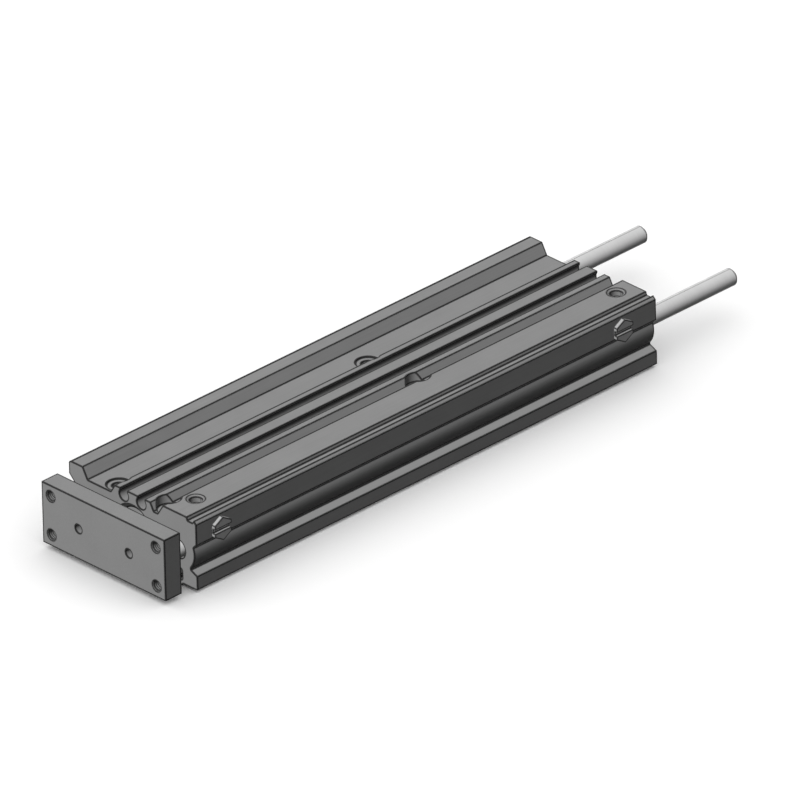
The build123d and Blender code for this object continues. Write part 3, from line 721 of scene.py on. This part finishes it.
def make_ball_tree():
    """Geometry tree: rows of balls round the X axis at each point that it is given."""
    kinds = {
        "Geometry": "Geometry",
        "Ball Radius": "Float",
        "Circle Radius": "Float",
        "Ball Pitch": "Float",
        "Rows": "Int",
        "Balls": "Int",
        "Finish": "Material",
    }
    tree, given, made = start_tree("ball_rows", kinds)
    link = tree.links.new

    step = add_node(tree, "ShaderNodeCombineXYZ")
    line = add_node(tree, "GeometryNodeMeshLine")
    ring = add_node(tree, "GeometryNodeMeshCircle")
    upright = add_node(
        tree, "GeometryNodeTransform", inputs={"Rotation": (pi / 4, pi / 2, 0.0)}
    )
    link(given.outputs["Ball Pitch"], step.inputs["X"])
    link(given.outputs["Balls"], line.inputs["Count"])
    link(step.outputs["Vector"], line.inputs["Offset"])
    link(given.outputs["Rows"], ring.inputs["Vertices"])
    link(given.outputs["Circle Radius"], ring.inputs["Radius"])
    link(ring.outputs["Mesh"], upright.inputs["Geometry"])

    rings = add_node(tree, "GeometryNodeInstanceOnPoints")
    ball = add_node(tree, "GeometryNodeMeshIcoSphere", inputs={"Subdivisions": BALL_SUBDIVISIONS})
    balls = add_node(tree, "GeometryNodeInstanceOnPoints")
    bushes = add_node(tree, "GeometryNodeInstanceOnPoints")
    link(line.outputs["Mesh"], rings.inputs["Points"])
    link(upright.outputs["Geometry"], rings.inputs["Instance"])
    link(given.outputs["Ball Radius"], ball.inputs["Radius"])
    link(ball.outputs["Mesh"], balls.inputs["Instance"])
    ring_points = add_node(tree, "GeometryNodeRealizeInstances")
    link(rings.outputs["Instances"], ring_points.inputs["Geometry"])
    link(ring_points.outputs["Geometry"], balls.inputs["Points"])
    link(given.outputs["Geometry"], bushes.inputs["Points"])
    link(balls.outputs["Instances"], bushes.inputs["Instance"])

    real = add_node(tree, "GeometryNodeRealizeInstances")
    smooth = add_node(tree, "GeometryNodeSetShadeSmooth")
    finish = add_node(tree, "GeometryNodeSetMaterial")
    link(bushes.outputs["Instances"], real.inputs["Geometry"])
    link(real.outputs["Geometry"], smooth.inputs["Geometry"])
    link(smooth.outputs["Geometry"], finish.inputs["Geometry"])
    link(given.outputs["Finish"], finish.inputs["Material"])
    link(finish.outputs["Geometry"], made.inputs["Geometry"])
    return tree


ball_tree = make_ball_tree()
print("ball tree inputs:", [item.name for item in ball_tree.interface.items_tree])

# %% [markdown]
# The middle of each bush's cubes, as the engineering model gives it, says where the round
# balls go. One object holds all four bushes, because they belong to the same moving body and
# have the same finish, and it stands in for the four plain pieces, which are hidden.

# %% Round balls in the four bushes
BALL_RADIUS = 0.75 * MM
BALL_PITCH = 4.0 * MM
BALL_ROWS = 4
BALLS_PER_ROW = 3
RUNNING_FIT = 0.03 * MM

rod_low, rod_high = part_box("guide_rod_left")
rod_radius = (rod_high.z - rod_low.z) / 2
ball_nodes = [
    f"bush_balls_{end}_{side}" for end in ("front", "rear") for side in ("left", "right")
]
first_balls = []
for ball_node in ball_nodes:
    low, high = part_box(ball_node)
    centre = (low + high) / 2
    first_balls.append((centre.x - (BALLS_PER_ROW - 1) * BALL_PITCH / 2, centre.y, centre.z))
bearing_balls = grow(
    "bearing_balls",
    ball_tree,
    first_balls,
    {
        "Ball Radius": BALL_RADIUS,
        "Circle Radius": rod_radius + RUNNING_FIT + BALL_RADIUS,
        "Ball Pitch": BALL_PITCH,
        "Rows": BALL_ROWS,
        "Balls": BALLS_PER_ROW,
        "Finish": bearing_steel,
    },
)
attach(bearing_balls, "cylinder_unit")
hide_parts(*ball_nodes)
print("bearing balls:", len(bearing_balls.data.polygons), "faces")

# %% [markdown]
# The photograph has a white background with a soft shadow under the object. A floor with a
# real light on it makes that shadow. The floor is white to the camera and to reflections,
# and dark to the light that bounces, so that the shaded side of the body stays as dark as it
# is in the photograph.

# %% Floor
FLOOR_SIZE = 6.0
FLOOR_BOUNCE = 0.03
FLOOR_WHITE = 1.0


def make_floor_material():
    """Matt floor, white to the camera and dark to bounced light."""
    material, tree, shader = start_material("floor_paper", 1.0, 0.0, 0.0)
    tone = add_node(
        tree, "ShaderNodeMix", data_type="FLOAT", inputs={2: FLOOR_BOUNCE, 3: FLOOR_WHITE}
    )
    tree.links.new(seen_by_camera(tree), tone.inputs["Factor"])
    tree.links.new(tone.outputs[0], shader.inputs["Base Color"])
    return material


floor_mesh = bpy.data.meshes.new("floor")
half_floor = FLOOR_SIZE / 2
floor_mesh.from_pydata(
    [(x * half_floor, y * half_floor, 0.0) for x, y in ((-1, -1), (1, -1), (1, 1), (-1, 1))],
    [],
    [(0, 1, 2, 3)],
)
floor_mesh.materials.append(make_floor_material())
floor = bpy.data.objects.new("floor", floor_mesh)
bpy.context.scene.collection.objects.link(floor)
print("floor size in m:", FLOOR_SIZE)

# %% [markdown]
# The light is a plain studio set of four soft lamps. A broad key light comes from in front and
# above, so the top and the front of the object are nearly the same grey, and the long side
# stays dark. A weak lamp from behind lifts the sloping faces and the rods, a low one reaches
# only the sides that the photograph doesn't show, and a very broad one is for the floor.

# %% Lamps
KEY_LEVEL = 1.27
KEY_DIRECTION = (0.68, 0.08, 0.735)
KEY_ANGLE = 20.0
ROD_LEVEL = 0.12
ROD_DIRECTION = (-0.60, 0.56, 0.57)
ROD_ANGLE = 30.0
BACK_LEVEL = 0.4
BACK_DIRECTION = (-0.75, -0.66, -0.1)
BACK_ANGLE = 30.0
FLOOR_LEVEL = 1.14
FLOOR_DIRECTION = (0.32, 0.1, 1.0)
FLOOR_ANGLE = 160.0


def add_lamp(name, direction, level, angle):
    """Soft lamp from a direction. A level of 1 shows a facing surface at its own colour."""
    lamp = bpy.data.lights.new(name, "SUN")
    lamp.energy = level * pi
    lamp.angle = radians(angle)
    holder = bpy.data.objects.new(name, lamp)
    holder.rotation_euler = Vector(direction).to_track_quat("Z", "Y").to_euler()
    bpy.context.scene.collection.objects.link(holder)
    return holder


key_light = add_lamp("key_light", KEY_DIRECTION, KEY_LEVEL, KEY_ANGLE)
rod_light = add_lamp("rod_light", ROD_DIRECTION, ROD_LEVEL, ROD_ANGLE)
back_light = add_lamp("back_light", BACK_DIRECTION, BACK_LEVEL, BACK_ANGLE)
floor_light = add_lamp("floor_light", FLOOR_DIRECTION, FLOOR_LEVEL, FLOOR_ANGLE)
object_lights = (key_light, rod_light, back_light)
print("lamps for the object:", [lamp_object.name for lamp_object in object_lights])
print("lamp for the floor:", floor_light.name)

# %% [markdown]
# In the photograph no piece throws a shadow on another, yet the floor has a soft shade all
# round the object. Light linking gives both: the lamps for the object pass through its pieces
# and miss the floor, and the lamp for the floor lights nothing else.

# %% What each lamp lights


def light_group(name, objects, state):
    """Collection of objects that a lamp includes or excludes."""
    group = bpy.data.collections.new(name)
    for member in objects:
        group.objects.link(member)
    for entry in group.collection_objects:
        entry.light_linking.link_state = state
    return group


not_the_floor = light_group("not_the_floor", [floor], "EXCLUDE")
only_the_floor = light_group("only_the_floor", [floor], "INCLUDE")
for lamp_object in object_lights:
    lamp_object.light_linking.receiver_collection = not_the_floor
    lamp_object.light_linking.blocker_collection = only_the_floor
floor_light.light_linking.receiver_collection = only_the_floor
print("light groups:", not_the_floor.name, only_the_floor.name)

# %% [markdown]
# The world is the light that comes from all round. It is white where the camera sees it, as
# the background of the photograph is, but it lights the object only weakly, so that the dark
# side stays dark.

# %% World
WORLD_LEVEL = 0.03
WORLD_COLOUR = (1.0, 1.0, 1.0, 1.0)

world = bpy.data.worlds.new("studio")
bpy.context.scene.world = world
world.use_nodes = True
world_tree = world.node_tree
background = world_tree.nodes["Background"]
background.inputs["Color"].default_value = WORLD_COLOUR
world_tone = add_node(
    world_tree, "ShaderNodeMix", data_type="FLOAT", inputs={2: WORLD_LEVEL, 3: 1.0}
)
world_tree.links.new(seen_by_camera(world_tree), world_tone.inputs["Factor"])
world_tree.links.new(world_tone.outputs[0], background.inputs["Strength"])
print("light on a level face:", round(WORLD_LEVEL + KEY_LEVEL * KEY_DIRECTION[2], 3))

# %% [markdown]
# Parallel edges of the object stay parallel in the photograph, so its camera is very far
# away with a very long lens. The camera here does the same: the lens sets the distance at
# which the frame is as wide as the photograph's. The angles are those at which the body's
# edges run as they do in the photograph.

# %% Camera
SENSOR_WIDTH = 36.0
LENS = 1700.0
FRAME_WIDTH = 254.8 * MM
AZIMUTH = 136.48
ELEVATION = 29.0
ROLL = -1.42
CLIP_NEARER = 100
CLIP_FARTHER = 10
LOOK_AT = Vector((-55.95 * MM, 2.02 * MM, 13.0 * MM))

azimuth = radians(AZIMUTH)
elevation = radians(ELEVATION)
back = Vector((sin(azimuth) * cos(elevation), -cos(azimuth) * cos(elevation), sin(elevation)))
level_right = Vector((0, 0, 1)).cross(back).normalized()
level_up = back.cross(level_right)
right = level_right * cos(radians(ROLL)) + level_up * sin(radians(ROLL))
up = back.cross(right)

camera_data = bpy.data.cameras.new("camera")
camera_data.sensor_width = SENSOR_WIDTH
camera_data.lens = LENS
distance = LENS / SENSOR_WIDTH * FRAME_WIDTH
camera_data.clip_start = distance / CLIP_NEARER
camera_data.clip_end = distance * CLIP_FARTHER
camera = bpy.data.objects.new("camera", camera_data)
bpy.context.scene.collection.objects.link(camera)
camera_place = LOOK_AT + back * distance
camera.matrix_world = Matrix(
    (
        (right.x, up.x, back.x, camera_place.x),
        (right.y, up.y, back.y, camera_place.y),
        (right.z, up.z, back.z, camera_place.z),
        (0, 0, 0, 1),
    )
)
bpy.context.scene.camera = camera
bpy.context.scene.view_settings.view_transform = "Standard"
print("camera distance in m:", round(distance, 3))
